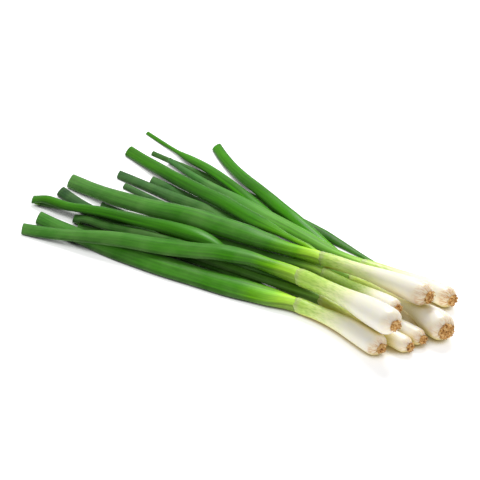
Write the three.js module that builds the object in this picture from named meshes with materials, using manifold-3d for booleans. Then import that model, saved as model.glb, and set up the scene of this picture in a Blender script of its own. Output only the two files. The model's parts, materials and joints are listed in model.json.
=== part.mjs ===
// A bunch of spring onions lying on a table: eight plants, each with a white bulb and shank, a plate of cut
// roots, and its own long hollow leaves, trimmed straight at the tips. Millimetres, +Z up.
// The bulbs point along +X, the leaves fan out along -X, and +Y is the far side of the bunch.
// Each plant is given only where it lies as seen from above. The heights are found by laying the pieces one
// after another on the table and on what already lies there, so that they touch and never cross.
import * as THREE from "three";
import { mergeVertices } from "three/addons/utils/BufferGeometryUtils.js";
import Module from "manifold-3d";

// Clearances and resolution
const CONTACT_GAP = 0.45; // air between a piece and what it lies on
const TABLE_FLAT = 0.25; // depth of the small flats where the lowest pieces meet the table
const CELL = 1; // size of a cell of the height map
const HALF_MAP = 210; // the height map reaches this far from the middle
const STATION_STEP = 3; // distance between the stations where a piece is tested against what lies below
const BULB_SIDES = 12;
const LEAF_SIDES = 10;
const BULB_RINGS = 13;
const LEAF_RINGS = 13;
const THICK_SHARE = 0.5; // thickness of a leaf as a share of its width, in its middle
const END_THICK_SHARE = 0.5; // the same at the cut end, where the tube is pinched flatter
const START_WIDTH_SHARE = 0.35; // width of a leaf where it leaves its sheath, as a share of the full one
const START_THICK_SHARE = 0.2; // its thickness there as a share of the same
const SWELL = 0.28; // share of its length over which a leaf swells to its full width
const NARROWING = [0.45, 0.55]; // where it starts to narrow again, and over which share of its length
const SAG = 0.004; // how much a leaf sags in each of the rounds in which it settles
const SAG_ROUNDS = 250;
const HELD_STATIONS = 3; // stations of a leaf inside its sheath

// The white part
const NECK_FLARE = 1.06; // how much wider than its mouth a shank is under the bulb's swelling
const SHOULDER = 1.05; // length of the round shoulder at the roots as a share of the bulb's radius
const BALANCE = 0.3; // place of its weight as a share of its length from the roots
const EVEN_SHARE = 0.35; // 1 would space its rings evenly, less packs them towards the bulb

// Thin walls of the hollow parts
const LEAF_WALL = 0.8;
const END_SLANT = 0.45; // how far the cut end leans, the near side shorter, as a share of the width
const TIP_HOLLOW = 7; // how deep the open cut end of a leaf is modelled
const SHEATH_WALL = 0.8;
const SHEATH_DEPTH = 5; // depth of the open mouth at the top of a shank
const SHEATH_GAP = 0.7; // air round a leaf where it stands in its sheath
const SHEATH_HANDLE = 30; // a leaf keeps the heading of its shank over about half this length

// Root plates
const ROOT_GAP = 0.3;
const PLATE_HEIGHT = 1.6;
const PLATE_SHAPE = [[1, 0], [0.94, 0.6], [0.55, 1], [0, 1.12]]; // outline, as shares of radius and height
const PLATE_INSET = 0.96; // its radius as a share of the flat it stands on
const RIM_STUBS = 11;
const INNER_STUBS = 8;
const STUB_SIDES = 3;
const STUB_RADIUS = 0.65;
const STUB_TOP_SHARE = 0.6; // radius of a stub's cut end as a share of its foot's
const STUB_LENGTHS = [1.8, 2.9]; // the shortest and the longest stub
const STUB_SINK = 0.5; // how deep the foot of a stub is set in
const RIM_PLACE = 0.84; // where the outer ring of stubs stands, as a share of the plate's radius
const RIM_HEIGHT = 0.7; // height of their feet on the rounded edge of the plate
const RIM_WANDER = 0.4; // how far they stray round the ring, as a share of their spacing
const RIM_LEANS = [0.7, 1.05]; // the least and the most they lean outwards, in radians
const INNER_PLACE = 0.62; // how far out the inner stubs reach
const INNER_TURN = 2.4; // the angle from one of them to the next, in radians
const INNER_LEAN = 0.5; // how much an inner stub would lean at the rim
const INNER_STRAY = 0.15; // how far its lean strays to either side
const FIRST_SEED = 101; // seed of the small draws for the first root plate

const COLOURS = {
  bulb: { color: 0xf2f1e2, roughness: 0.35 },
  roots: { color: 0xa8703a, roughness: 0.85 },
  leaf: { color: 0x3f8a2c, roughness: 0.45 },
  youngLeaf: { color: 0x63a81f, roughness: 0.42 },
  waxyLeaf: { color: 0x3c7a4a, roughness: 0.5 },
};

// The plants from the lowest to the highest. root and mouth are plan places of the two ends of the white
// part, swing is how far its middle stands aside of the straight line, bulb and neck are radii, fade is the
// share of its length over which the swelling of the bulb dies away, and plate is the radius of the root
// plate as a share of the bulb's.
// A leaf grows out of the mouth of its shank unless start says where it shows from its sheath. bow is how
// far its middle stands aside of the straight line to its tip, and tilt is how much higher its far edge
// stands than its near one, in degrees. swell and narrowing replace the usual shares of its length over which
// a leaf widens and narrows. A leaf marked first lies under all the plants.
const PLANTS = [
  {
    name: "onion_1",
    root: [155.5, -54.8], mouth: [84.5, -46.3], swing: -3.4, bulb: 7.5, neck: 4.7, fade: 1, plate: 0.46,
    leaves: [
      { tip: [-129, -73], bow: 9, width: 16.5, endWidth: 11.5, tilt: 20, swell: 0.18, tone: "leaf" },
      { start: [76, -40], tip: [-100, -62], bow: -8, width: 8, endWidth: 6, tilt: 10, tone: "leaf" },
    ],
  },
  {
    name: "onion_2",
    root: [166, -39.8], mouth: [92, -31], swing: 0, bulb: 5.4, neck: 4.2, fade: 0.6, plate: 0.56,
    leaves: [
      { tip: [-149, -34], bow: 14, width: 10, endWidth: 9.5, tilt: 15, tone: "waxyLeaf" },
      { start: [80, -29], tip: [-109, -57], bow: 3, width: 9, endWidth: 8.5, tilt: 10, tone: "leaf" },
    ],
  },
  {
    name: "onion_3",
    root: [168, -28.8], mouth: [92, -21], swing: -1, bulb: 5.6, neck: 4.2, fade: 0.6, plate: 0.56,
    leaves: [
      { tip: [-111, -28], bow: 0, width: 9.5, endWidth: 6, tilt: 10, tone: "waxyLeaf" },
      { start: [80, -18], tip: [-120, 5], bow: -2, width: 9.5, endWidth: 6, tilt: 10, tone: "waxyLeaf" },
    ],
  },
  {
    name: "onion_4",
    root: [177, -17], mouth: [92, 0], swing: -6, bulb: 9.2, neck: 4.6, fade: 0.45, plate: 0.64,
    leaves: [
      { tip: [-110, 25], bow: -2, width: 11, endWidth: 8, tilt: 10, tone: "waxyLeaf" },
      { start: [80, -5], tip: [-136, 15], bow: -4, width: 11, endWidth: 8.5, tilt: 15, tone: "waxyLeaf" },
      {
        start: [84, 9], tip: [-175, 87], bow: -1.5, width: 9, endWidth: 4, tilt: 10, narrowing: [0.72, 0.1],
        tone: "youngLeaf",
      },
    ],
  },
  {
    name: "onion_5",
    root: [160.5, 18], mouth: [88, 20.5], swing: -4, bulb: 7.3, neck: 4.5, fade: 0.7, plate: 0.56,
    leaves: [
      {
        start: [100, 32], tip: [-144, 61], bow: -4, width: 8.5, endWidth: 5, tilt: 15, tone: "leaf",
        first: true,
      },
      { start: [86, 23.5], tip: [-110, 101], bow: 11.5, width: 10, endWidth: 9, tilt: 20, tone: "youngLeaf" },
      { tip: [-122, 57], bow: 5, width: 12, endWidth: 5, tilt: 15, tone: "waxyLeaf" },
    ],
  },
  {
    name: "onion_6",
    root: [147.5, -26.5], mouth: [80, -13], swing: 0, bulb: 6.2, neck: 4.2, fade: 0.7, plate: 0.56,
    leaves: [
      { tip: [-150, -55], bow: 0, width: 10, endWidth: 7, tilt: 10, tone: "leaf" },
    ],
  },
  {
    name: "onion_7",
    root: [162, -52], mouth: [75, -31.5], swing: -2.5, bulb: 8.8, neck: 5.4, fade: 1, plate: 0.44,
    leaves: [
      { start: [36, -29], tip: [-153, -58], bow: 1, width: 10, endWidth: 7.5, tilt: 20, tone: "youngLeaf" },
      { tip: [-126, -91], bow: 2.5, width: 14, endWidth: 10, tilt: 20, tone: "leaf" },
    ],
  },
  {
    name: "onion_8",
    root: [159.5, -10.5], mouth: [74, -7], swing: -2.5, bulb: 7.8, neck: 4.7, fade: 0.7, plate: 0.54,
    leaves: [
      { tip: [-154, -19], bow: 8, width: 16, endWidth: 12.5, tilt: 25, tone: "leaf" },
      { start: [60, -4], tip: [-159, 49], bow: 1, width: 12, endWidth: 10.5, tilt: 20, tone: "youngLeaf" },
    ],
  },
];

const wasm = await Module();
wasm.setup();

const smooth = (t) => {
  const c = Math.min(Math.max(t, 0), 1);
  return c * c * (3 - 2 * c);
};
const mix = (a, b, t) => a + (b - a) * t;

// Height map of everything laid so far, zero where the table is bare.
const MAP_SIZE = Math.round((2 * HALF_MAP) / CELL) + 1;
const heightMap = new Float32Array(MAP_SIZE * MAP_SIZE);

function mapIndex(x, y) {
  return Math.round((y + HALF_MAP) / CELL) * MAP_SIZE + Math.round((x + HALF_MAP) / CELL);
}

// A path in plan: a quadratic curve whose middle stands aside of the straight line by bow.
function planPath(from, to, bow) {
  const start = new THREE.Vector2(...from);
  const end = new THREE.Vector2(...to);
  const along = end.clone().sub(start).normalize();
  const aside = new THREE.Vector2(-along.y, along.x);
  const middle = start.clone().add(end).multiplyScalar(0.5).addScaledVector(aside, 2 * bow);
  return new THREE.QuadraticBezierCurve(start, middle, end);
}

// The path of a leaf that leaves a sheath: it starts inside the mouth along the shank, then bends over to
// its own heading.
function sheathedPath(mouth, to, bow) {
  const heading = new THREE.Vector2(mouth.aside.y, -mouth.aside.x);
  const start = mouth.place.clone().addScaledVector(heading, 1 - SHEATH_DEPTH);
  const end = new THREE.Vector2(...to);
  const along = end.clone().sub(start).normalize();
  const aside = new THREE.Vector2(-along.y, along.x);
  const handle = start.clone().addScaledVector(heading, SHEATH_HANDLE);
  const middle = start.clone().add(end).multiplyScalar(0.5).addScaledVector(aside, 2 * bow);
  return new THREE.CubicBezierCurve(start, handle, middle, end);
}

// Stations along a plan path, with the place, the sideways direction and the half sizes of the section.
function stationsOf(path, sizeAt, count) {
  return Array.from({ length: count }, (_, i) => {
    const t = i / (count - 1);
    const place = path.getPointAt(t);
    const tangent = path.getTangentAt(t);
    return { t, place, aside: new THREE.Vector2(-tangent.y, tangent.x), ...sizeAt(t) };
  });
}

// The section is an ellipse turned by its roll. These are its reach sideways and its lower and upper sides,
// measured from its centre at a sideways distance u.
const reachOf = (s) => Math.hypot(s.halfWidth * Math.cos(s.roll), s.halfThick * Math.sin(s.roll));

function sideOf(s, u, sign) {
  const reach = reachOf(s);
  const shear = Math.sin(s.roll) * Math.cos(s.roll) * (s.halfWidth ** 2 - s.halfThick ** 2);
  const half = s.halfWidth * s.halfThick * Math.sqrt(Math.max(reach ** 2 - u ** 2, 0));
  return (u * shear + sign * half) / reach ** 2;
}

// The lowest centre height at which a station's section clears the table and all that was laid before.
function lowestCentre(s) {
  const reach = reachOf(s);
  const steps = Math.max(Math.ceil((2 * reach) / (0.5 * CELL)), 2);
  let centre = 0;
  for (let k = 0; k <= steps; k++) {
    const u = reach * ((2 * k) / steps - 1);
    const below = heightMap[mapIndex(s.place.x + s.aside.x * u, s.place.y + s.aside.y * u)];
    const clear = below > 0 ? below + CONTACT_GAP : -TABLE_FLAT;
    centre = Math.max(centre, clear - sideOf(s, u, -1));
  }
  return centre;
}

// Raises the height map to the upper side of a piece.
function stamp(stations) {
  for (let i = 0; i + 1 < stations.length; i++) {
    for (const share of [0, 0.25, 0.5, 0.75]) {
      const a = stations[i];
      const b = stations[i + 1];
      const s = {
        halfWidth: mix(a.halfWidth, b.halfWidth, share),
        halfThick: mix(a.halfThick, b.halfThick, share),
        roll: mix(a.roll, b.roll, share),
      };
      const reach = reachOf(s);
      for (let u = -reach; u <= reach; u += 0.5 * CELL) {
        const x = mix(a.place.x + a.aside.x * u, b.place.x + b.aside.x * u, share);
        const y = mix(a.place.y + a.aside.y * u, b.place.y + b.aside.y * u, share);
        const top = mix(a.centre, b.centre, share) + sideOf(s, u, 1);
        const cell = mapIndex(x, y);
        heightMap[cell] = Math.max(heightMap[cell], top);
      }
    }
  }
}

// A shank is stiff: it comes to rest on the two supports on either side of its weight.
function layStiff(stations) {
  const need = stations.map(lowestCentre);
  let best = null;
  for (let i = 0; i < stations.length; i++) {
    for (let j = i + 1; j < stations.length; j++) {
      if (stations[i].t > BALANCE || stations[j].t < BALANCE) continue;
      const slope = (need[j] - need[i]) / (stations[j].t - stations[i].t);
      const height = need[i] + slope * (BALANCE - stations[i].t);
      if (!best || height > best.height) best = { height, slope };
    }
  }
  stations.forEach((s) => {
    s.centre = best.height + best.slope * (s.t - BALANCE);
  });
}

// A leaf is held at its start by its sheath and at its tip by what lies below. It is drawn taut over its
// supports, then sags a little between them.
function layLeaf(stations, startHeight) {
  const need = stations.map(lowestCentre);
  const held = startHeight === undefined ? 0 : HELD_STATIONS;
  need.fill(startHeight, 0, held);
  const height = need.slice();
  const last = height.length - 1;
  for (let i = Math.max(held - 1, 0); i < last; ) {
    let next = i + 1;
    const steepness = (j) => (need[j] - height[i]) / (j - i);
    for (let j = i + 2; j <= last; j++) {
      if (steepness(j) >= steepness(next)) next = j;
    }
    const slope = steepness(next);
    for (let j = i + 1; j <= next; j++) height[j] = height[i] + slope * (j - i);
    i = next;
  }
  for (let round = 0; round < SAG_ROUNDS; round++) {
    for (let i = Math.max(held, 1); i < last; i++) {
      height[i] = Math.max(need[i], 0.5 * height[i] + 0.25 * (height[i - 1] + height[i + 1]) - SAG);
    }
  }
  stations.forEach((s, i) => {
    s.centre = height[i];
  });
}

// The rings of the mesh stand at every few stations, with one more where a leaf comes out of its sheath. A
// ring is lifted where the straight facets between rings would otherwise dip below a station's height.
function ringsFrom(stations, inSheath) {
  const first = inSheath ? HELD_STATIONS - 1 : 0;
  const last = stations.length - 1;
  const evenly = (k) => Math.round(mix(first, last, k / (LEAF_RINGS - 1)));
  const even = Array.from({ length: LEAF_RINGS }, (_, k) => evenly(k));
  const picks = inSheath ? [0, ...even] : even;
  const rings = picks.map((i) => ({ ...stations[i] }));
  for (let k = 0; k + 1 < rings.length; k++) {
    const held = picks[k] <= first && inSheath;
    for (let i = picks[k] + 1; i < picks[k + 1]; i++) {
      const share = (i - picks[k]) / (picks[k + 1] - picks[k]);
      const dip = stations[i].centre - mix(rings[k].centre, rings[k + 1].centre, share);
      if (dip > 0) {
        rings[k].centre += held ? 0 : dip;
        rings[k + 1].centre += held ? dip / share : dip;
      }
    }
  }
  for (let k = 0; k + 1 < rings.length; k++) {
    for (let i = picks[k]; i <= picks[k + 1]; i++) {
      const share = (i - picks[k]) / (picks[k + 1] - picks[k]);
      stations[i].centre = mix(rings[k].centre, rings[k + 1].centre, share);
    }
  }
  return rings;
}

// The corners of one section, thinned by wall for the inside of a hollow.
function cornersOf(ring, sides, wall = 0) {
  return Array.from({ length: sides }, (_, k) => {
    const angle = ((k + 0.5) / sides) * 2 * Math.PI;
    const wide = Math.max(ring.halfWidth - wall, 0.3) * Math.cos(angle);
    const thick = Math.max(ring.halfThick - wall, 0.3) * Math.sin(angle);
    const u = wide * Math.cos(ring.roll) - thick * Math.sin(ring.roll);
    const v = wide * Math.sin(ring.roll) + thick * Math.cos(ring.roll);
    const z = Math.max(ring.centre + v, wall > 0 ? wall : 0);
    const ahead = -(ring.slant ?? 0) * u;
    const x = ring.place.x + ring.aside.x * u + ring.aside.y * ahead;
    const y = ring.place.y + ring.aside.y * u - ring.aside.x * ahead;
    return new THREE.Vector3(x, y, z);
  });
}

// A closed skin through loops of corners, with a point at each end.
function skin(loops) {
  const sides = loops[0].length;
  const middle = (loop) => loop.reduce((sum, p) => sum.add(p), new THREE.Vector3()).divideScalar(sides);
  const points = [middle(loops[0]), ...loops.flat(), middle(loops.at(-1))];
  const index = [];
  const at = (j, k) => 1 + j * sides + (k % sides);
  for (let k = 0; k < sides; k++) {
    index.push(0, at(0, k + 1), at(0, k));
    index.push(points.length - 1, at(loops.length - 1, k), at(loops.length - 1, k + 1));
    for (let j = 0; j + 1 < loops.length; j++) {
      index.push(at(j, k), at(j, k + 1), at(j + 1, k + 1));
      index.push(at(j, k), at(j + 1, k + 1), at(j + 1, k));
    }
  }
  const geometry = new THREE.BufferGeometry().setFromPoints(points);
  geometry.setIndex(index);
  return geometry;
}

// A tube through rings that is open at its far end: the skin turns in at the last ring and back to a floor.
function openTube(rings, sides, wall, depth, length) {
  const end = rings.at(-1);
  const before = rings.at(-2);
  const share = Math.min(depth / (length * (end.t - before.t)), 0.9);
  const deep = { ...end };
  deep.place = end.place.clone().lerp(before.place, share);
  deep.centre = mix(end.centre, before.centre, share);
  deep.halfWidth = mix(end.halfWidth, before.halfWidth, share);
  deep.halfThick = mix(end.halfThick, before.halfThick, share);
  const outside = rings.map((ring) => cornersOf(ring, sides));
  return skin([...outside, cornersOf(end, sides, wall), cornersOf(deep, sides, wall)]);
}

function meshOf(name, geometry, look) {
  geometry.computeVertexNormals();
  const material = new THREE.MeshStandardMaterial({ ...look, metalness: 0, flatShading: true });
  const mesh = new THREE.Mesh(geometry, material);
  mesh.name = name;
  return mesh;
}

// The radius of the white part: a round shoulder at the roots, the bulb, then a long taper to the neck.
function bulbRadius(plant, distance, length) {
  const plate = plant.plate * plant.bulb;
  const shank = mix(NECK_FLARE * plant.neck, plant.neck, smooth(distance / length));
  const swell = 1 - smooth((distance - plant.bulb) / (plant.fade * length - plant.bulb));
  const full = mix(shank, plant.bulb, swell);
  const shoulder = Math.min(distance / (SHOULDER * plant.bulb), 1);
  return mix(plate, full, Math.sqrt(1 - (1 - shoulder) ** 2));
}

// Stations are packed closer at the bulb, where the outline turns.
function makeBulb(plant) {
  const path = planPath(plant.root, plant.mouth, plant.swing);
  const length = path.getLength();
  const count = Math.round(length / STATION_STEP) * 2;
  const stations = stationsOf(path, (t) => {
    const radius = bulbRadius(plant, t * length, length);
    return { halfWidth: radius, halfThick: radius, roll: 0 };
  }, count);
  layStiff(stations);
  const last = stations.length - 1;
  const rings = Array.from({ length: BULB_RINGS }, (_, k) => {
    const t = k / (BULB_RINGS - 1);
    return stations[Math.round(last * mix(t * t, t, EVEN_SHARE))];
  });
  plant.stations = stations;
  plant.length = length;
  stamp(stations);
  const geometry = openTube(rings, BULB_SIDES, SHEATH_WALL, SHEATH_DEPTH, length);
  return meshOf(plant.name + "_bulb", geometry, COLOURS.bulb);
}

// The width of a leaf swells from its start and narrows again to the cut end.
function leafSize(leaf, startWidth, startThick, roll, t) {
  const swell = smooth(t / (leaf.swell ?? SWELL));
  const [from, over] = leaf.narrowing ?? NARROWING;
  const narrow = smooth((t - from) / over);
  const width = mix(mix(startWidth, leaf.width, swell), leaf.endWidth, narrow);
  const fullThick = mix(startThick, THICK_SHARE * leaf.width, swell);
  const thick = mix(fullThick, END_THICK_SHARE * leaf.endWidth, narrow);
  return { halfWidth: width / 2, halfThick: thick / 2, roll: roll * swell };
}

function makeLeaf(plant, leaf, number) {
  const inSheath = !leaf.start;
  const inner = 2 * (plant.neck - SHEATH_WALL - SHEATH_GAP);
  const mouth = inSheath ? plant.stations.at(-1) : null;
  const { tip, bow } = leaf;
  const path = inSheath ? sheathedPath(mouth, tip, bow) : planPath(leaf.start, tip, bow);
  const count = Math.round(path.getLength() / STATION_STEP);
  const roll = -THREE.MathUtils.degToRad(leaf.tilt);
  const startWidth = inSheath ? inner : START_WIDTH_SHARE * leaf.width;
  const startThick = inSheath ? inner : START_THICK_SHARE * leaf.width;
  const stations = stationsOf(path, (t) => leafSize(leaf, startWidth, startThick, roll, t), count);
  layLeaf(stations, inSheath ? mouth.centre : undefined);
  const rings = ringsFrom(stations, inSheath);
  rings.at(-1).slant = END_SLANT;
  stamp(stations);
  const geometry = openTube(rings, LEAF_SIDES, LEAF_WALL, TIP_HOLLOW, path.getLength());
  return meshOf(`${plant.name}_leaf_${number}`, geometry, COLOURS[leaf.tone]);
}

// Small repeatable draws for the root stubs.
function drawsFrom(seed) {
  let state = seed;
  return () => {
    state = (state * 16807) % 2147483647;
    return state / 2147483647;
  };
}

function solidFrom(geometry) {
  geometry.deleteAttribute("normal");
  geometry.deleteAttribute("uv");
  const merged = mergeVertices(geometry, 1e-4);
  const corners = merged.index.array;
  const kept = [];
  for (let i = 0; i < corners.length; i += 3) {
    const [a, b, c] = corners.slice(i, i + 3);
    if (a !== b && b !== c && c !== a) kept.push(a, b, c);
  }
  return new wasm.Manifold(new wasm.Mesh({
    numProp: 3,
    vertProperties: new Float32Array(merged.attributes.position.array),
    triVerts: new Uint32Array(kept),
  }));
}

function geometryFrom(solid) {
  const mesh = solid.getMesh();
  const geometry = new THREE.BufferGeometry();
  geometry.setAttribute("position", new THREE.BufferAttribute(mesh.vertProperties, 3));
  geometry.setIndex(new THREE.BufferAttribute(mesh.triVerts, 1));
  return geometry;
}

// The root plate: a low dome on the end of the bulb, with the stubs of the cut roots standing out of it,
// a ring of them along the rim and the rest spread over the dome on a spiral.
function makeRoots(plant, seed) {
  const draw = drawsFrom(seed);
  const first = plant.stations[0];
  const outward = new THREE.Vector3(-first.aside.y, first.aside.x, 0);
  const radius = PLATE_INSET * plant.plate * plant.bulb;
  const outline = PLATE_SHAPE.map(([r, h]) => new THREE.Vector2(r * radius, h * PLATE_HEIGHT));
  let solid = solidFrom(new THREE.LatheGeometry([new THREE.Vector2(0, 0), ...outline], BULB_SIDES));
  for (let k = 0; k < RIM_STUBS + INNER_STUBS; k++) {
    const onRim = k < RIM_STUBS;
    const inner = k - RIM_STUBS;
    const angle = onRim ? ((k + RIM_WANDER * draw()) / RIM_STUBS) * 2 * Math.PI : k * INNER_TURN;
    const away = radius * (onRim ? RIM_PLACE : INNER_PLACE * Math.sqrt((inner + 0.5) / INNER_STUBS));
    const stray = mix(-INNER_STRAY, INNER_STRAY, draw());
    const lean = onRim ? mix(...RIM_LEANS, draw()) : (INNER_LEAN * away) / radius + stray;
    const length = mix(...STUB_LENGTHS, draw());
    const stub = new THREE.CylinderGeometry(STUB_TOP_SHARE * STUB_RADIUS, STUB_RADIUS, length, STUB_SIDES);
    stub.translate(0, length / 2 - STUB_SINK, 0);
    stub.rotateY(2 * Math.PI * draw());
    stub.rotateZ(-lean);
    stub.rotateY(-angle);
    const height = onRim ? RIM_HEIGHT : PLATE_HEIGHT - STUB_SINK;
    stub.translate(away * Math.cos(angle), height, away * Math.sin(angle));
    solid = solid.add(solidFrom(stub));
  }
  const geometry = geometryFrom(solid);
  const turn = new THREE.Quaternion().setFromUnitVectors(new THREE.Vector3(0, 1, 0), outward);
  geometry.applyQuaternion(turn);
  const gap = outward.clone().multiplyScalar(ROOT_GAP);
  geometry.translate(first.place.x + gap.x, first.place.y + gap.y, first.centre);
  return meshOf(plant.name + "_roots", geometry, COLOURS.roots);
}

const bunch = new THREE.Group();
const addLeaves = (plant, first) => {
  plant.leaves.forEach((leaf, k) => {
    if (Boolean(leaf.first) === first) bunch.add(makeLeaf(plant, leaf, k + 1));
  });
};
PLANTS.forEach((plant) => addLeaves(plant, true));
PLANTS.forEach((plant, i) => {
  bunch.add(makeBulb(plant));
  bunch.add(makeRoots(plant, FIRST_SEED + i));
  addLeaves(plant, false);
});

// The frame's origin is on the table under the middle of the bunch.
const box = new THREE.Box3().setFromObject(bunch);
const centre = box.getCenter(new THREE.Vector3());
bunch.children.forEach((mesh) => mesh.geometry.translate(-centre.x, -centre.y, -box.min.z));

export default bunch;
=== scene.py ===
# %% [markdown]
# # A bunch of fresh spring onions
# Eight plants lie loose on a white table, bulbs to the right and cut leaves fanned out to the left. The CAD
# part fixes the place and form of every bulb, leaf and root plate. Shaded smooth, its facets would keep a
# coarse outline. So this script reads the forms back as rings, lays a fine skin over each, and adds what a
# step away does not show: slanted lips, veins, pinched hollow ends, root stubs and colours along each plant.

# %% Tools and the CAD frame
import json
import math

import bmesh
import bpy
import numpy as np
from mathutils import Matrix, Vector


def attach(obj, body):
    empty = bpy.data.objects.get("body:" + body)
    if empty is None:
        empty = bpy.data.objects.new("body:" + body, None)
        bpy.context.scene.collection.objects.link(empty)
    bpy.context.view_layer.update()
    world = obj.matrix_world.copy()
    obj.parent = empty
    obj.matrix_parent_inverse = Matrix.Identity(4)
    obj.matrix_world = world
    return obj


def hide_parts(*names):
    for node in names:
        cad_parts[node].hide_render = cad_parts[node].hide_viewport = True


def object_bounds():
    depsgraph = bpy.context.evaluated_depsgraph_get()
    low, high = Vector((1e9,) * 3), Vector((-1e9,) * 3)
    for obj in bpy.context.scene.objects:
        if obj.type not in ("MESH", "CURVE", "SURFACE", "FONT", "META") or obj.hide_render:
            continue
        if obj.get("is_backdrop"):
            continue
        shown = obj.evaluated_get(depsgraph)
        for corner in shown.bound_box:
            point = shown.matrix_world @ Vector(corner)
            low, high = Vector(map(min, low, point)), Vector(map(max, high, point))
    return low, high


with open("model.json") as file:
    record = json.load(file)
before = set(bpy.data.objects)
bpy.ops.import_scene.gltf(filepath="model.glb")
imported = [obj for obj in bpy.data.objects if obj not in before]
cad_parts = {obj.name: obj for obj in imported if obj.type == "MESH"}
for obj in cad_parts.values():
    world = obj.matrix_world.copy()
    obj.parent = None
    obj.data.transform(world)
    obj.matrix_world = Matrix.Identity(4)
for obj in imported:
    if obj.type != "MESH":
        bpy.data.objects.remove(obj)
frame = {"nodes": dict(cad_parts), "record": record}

CAD_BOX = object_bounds()
MM = 0.001  # the scene is in metres, and lengths are written as millimetres times MM
SEED = 11  # for every random draw
print("CAD nodes:", len(frame["nodes"]), "box in mm:", [round(x / MM, 1) for x in CAD_BOX[1] - CAD_BOX[0]])

# %% [markdown]
# ## Reading the forms back
# In the CAD part a leaf or bulb is a stack of rings with a point at each end. The numbers could be typed in
# here again, but two lists drift apart, so the forms are read from the mesh. Its loose triangles are merged,
# and the corners are sorted into rings by walking along the edges from the point at the bulb's side. The last
# two rings line the hollow end and are left out.


# %% Rings of a CAD node
CAD_LEAF_SIDES = 10
CAD_BULB_SIDES = 12
MERGE_REACH = 1e-6


def rings_of(node, sides):
    work = bmesh.new()
    work.from_mesh(frame["nodes"][node].data)
    bmesh.ops.remove_doubles(work, verts=work.verts, dist=MERGE_REACH)
    poles = [v for v in work.verts if len(v.link_edges) == sides]
    layer = [max(poles, key=lambda v: v.co.x)]
    seen = set(layer)
    found = []
    while True:
        layer = {e.other_vert(v) for v in layer for e in v.link_edges} - seen
        if len(layer) != sides:
            break
        seen |= layer
        found.append(np.array([v.co for v in sorted(layer, key=lambda v: v.index)]))
    work.free()
    return found[:-2]


bulb_nodes = sorted(n for n in frame["nodes"] if n.endswith("_bulb"))
leaf_nodes = sorted(n for n in frame["nodes"] if "_leaf_" in n)
rings = {n: rings_of(n, CAD_BULB_SIDES) for n in bulb_nodes}
rings.update({n: rings_of(n, CAD_LEAF_SIDES) for n in leaf_nodes})
print("rings read:", sum(len(r) for r in rings.values()), "on", len(rings), "nodes")

# %% [markdown]
# ### What a ring says
# A ring lies in an upright plane across its piece, so the spread of its corners gives the half width, the
# half thickness and the roll of the section. The ring at a leaf's cut end stands at a slant, which is read
# too. A section is kept as x, y, z, half width, half thickness, roll and slant.

# %% Section of a ring
ROUND_LIMIT = 0.02  # below this share between width and thickness a section is round and has no roll


def section_of(ring, forward, at_cut_end):
    centre = ring.mean(0)
    flat = ring[:, :2] - centre[:2]
    way = forward[:2] / np.linalg.norm(forward[:2])
    aside = np.array([-way[1], way[0]])
    slant = 0.0
    if at_cut_end:
        slant = -(flat @ way) @ (flat @ aside) / np.sum((flat @ aside) ** 2)
    else:
        line = np.linalg.svd(flat)[2][0]
        aside = line if line @ aside > 0 else -line
    u = flat @ aside
    v = ring[:, 2] - centre[2]
    values, vectors = np.linalg.eigh(2 * np.cov(np.stack([u, v]), bias=True))
    half_thick, half_width = np.sqrt(np.maximum(values, 0))
    wide = vectors[:, 1] * (1 if vectors[0, 1] >= 0 else -1)
    round_one = half_width - half_thick < ROUND_LIMIT * half_width
    roll = 0.0 if round_one else math.atan2(wide[1], wide[0])
    return [*centre, half_width, half_thick, roll, slant]


def sections_of(node):
    forward = np.gradient(np.array([ring.mean(0) for ring in rings[node]]), axis=0)
    last = len(forward) - 1
    ends = [node in leaf_nodes and k == last for k in range(len(forward))]
    return np.array([section_of(*given) for given in zip(rings[node], forward, ends)])


sections = {n: sections_of(n) for n in bulb_nodes + leaf_nodes}
print("widest bulb in mm:", round(2 * max(sections[n][:, 3].max() for n in bulb_nodes) / MM, 1))

# %% [markdown]
# ## Curves through the sections
# A real leaf bends without a corner. A polyline would show every ring, and a free spline swings out beyond
# its points, which gives bulges that a leaf doesn't have. So each value is joined by cubic pieces that pass
# through every section, with slopes that are held back where the value would overshoot.

# %% Smooth curves
SLOPE_LIMIT = 2.5  # most that a slope may be, against the smaller of its neighbours
TURN_SLOPE = 0.35  # share of the slope that is kept where a value turns round


def through(knots, values, at):
    """The values at new places. Their first two columns, the plan, keep their full slopes."""
    step = np.diff(knots)[:, None]
    slope = np.diff(values, axis=0) / step
    inner = (slope[:-1] * step[1:] + slope[1:] * step[:-1]) / (step[:-1] + step[1:])
    limit = SLOPE_LIMIT * np.minimum(np.abs(slope[:-1]), np.abs(slope[1:]))
    calm = np.where(slope[:-1] * slope[1:] > 0, np.clip(inner, -limit, limit), TURN_SLOPE * inner)
    calm[:, :2] = inner[:, :2]
    tangent = np.vstack([slope[:1], calm, slope[-1:]])
    k = np.clip(np.searchsorted(knots, at, side="right") - 1, 0, len(knots) - 2)
    h = step[k]
    t = (at - knots[k])[:, None] / h
    return (
        (1 + 2 * t) * (1 - t) ** 2 * values[k]
        + t * (1 - t) ** 2 * h * tangent[k]
        + t**2 * (3 - 2 * t) * values[k + 1]
        + t**2 * (t - 1) * h * tangent[k + 1]
    )


def spine_of(node, step):
    """Distances from the start of a piece, one step apart, and the section at each."""
    given = sections[node]
    knots = np.concatenate([[0], np.cumsum(np.linalg.norm(np.diff(given[:, :3], axis=0), axis=1))])
    run = np.linspace(0, knots[-1], int(knots[-1] / step) + 1)
    return run, through(knots, given, run)


LEAF_STEP = 2.0 * MM
lengths = [spine_of(n, LEAF_STEP)[0][-1] for n in leaf_nodes]
print("leaf lengths in mm:", round(min(lengths) / MM), "to", round(max(lengths) / MM))

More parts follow.
